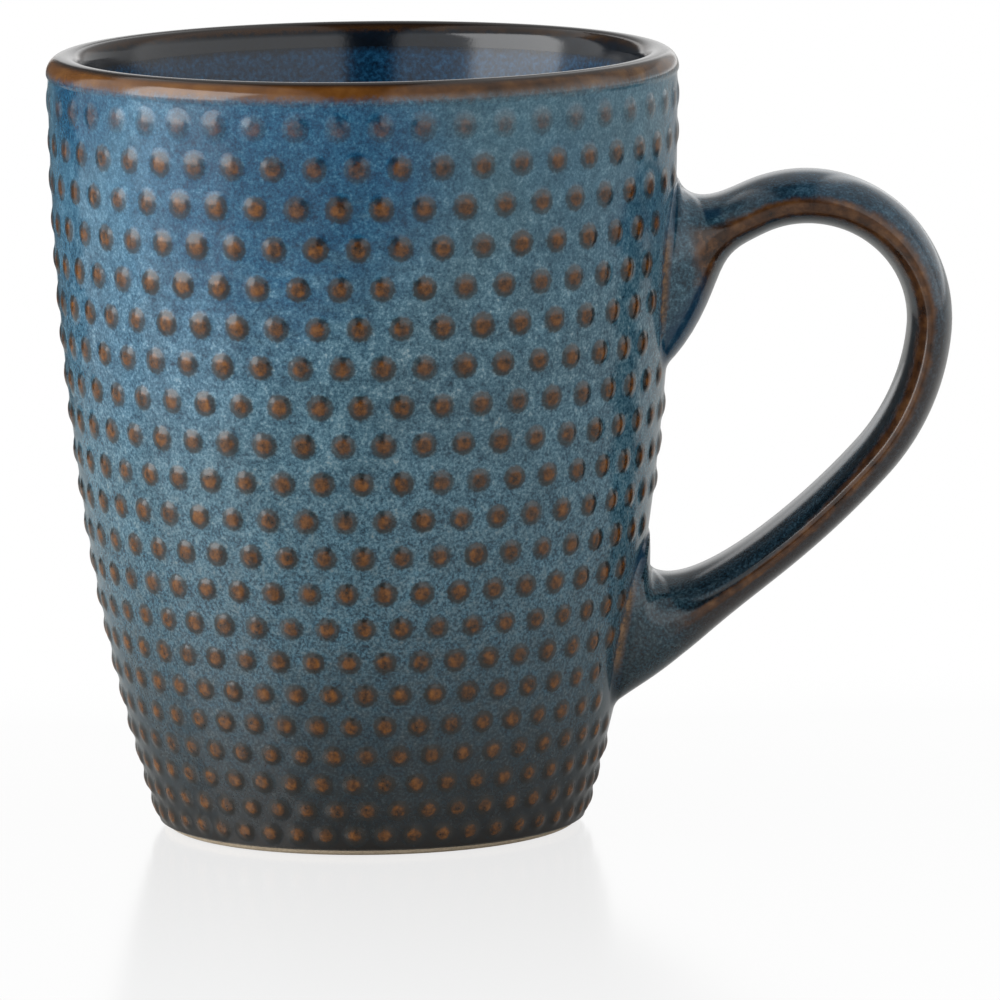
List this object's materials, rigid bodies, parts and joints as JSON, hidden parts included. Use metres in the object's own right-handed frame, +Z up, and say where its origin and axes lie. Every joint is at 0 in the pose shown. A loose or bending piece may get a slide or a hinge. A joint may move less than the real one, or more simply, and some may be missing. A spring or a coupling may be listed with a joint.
{
  "type": "mug",
  "caption": "Tapered stoneware mug with a strap handle, rows of small raised dots round the outside, a rounded brown lip and a bare foot ring.",
  "frame": {"origin": "middle of the foot ring, on the surface the mug stands on and on the axis of the cup", "axes": "+Z up along the axis of the cup, +X out through the middle of the handle"},
  "size_m": [0.1286, 0.09, 0.111],
  "materials": {
    "stoneware": "bare fired stoneware clay, matt and slightly gritty",
    "joint_slip": "fired clay slip",
    "dot_glaze": "raised slip under glaze that breaks to brown, satin gloss",
    "outer_glaze": "mottled reactive blue-grey glaze, satin gloss",
    "liner_glaze": "smooth dark blue glaze, glossy",
    "rim_glaze": "iron-brown glaze, glossy",
    "handle_glaze": "blue-grey glaze that breaks to brown on the edges, satin gloss"
  },
  "bodies": {
    "root": {"cup_body": "stoneware", "handle": "stoneware", "upper_joint_slip": "joint_slip", "lower_joint_slip": "joint_slip", "slip_dots": "dot_glaze", "outer_glaze": "outer_glaze", "liner_glaze": "liner_glaze", "rim_glaze": "rim_glaze", "handle_glaze": "handle_glaze"}
  },
  "joints": []
}
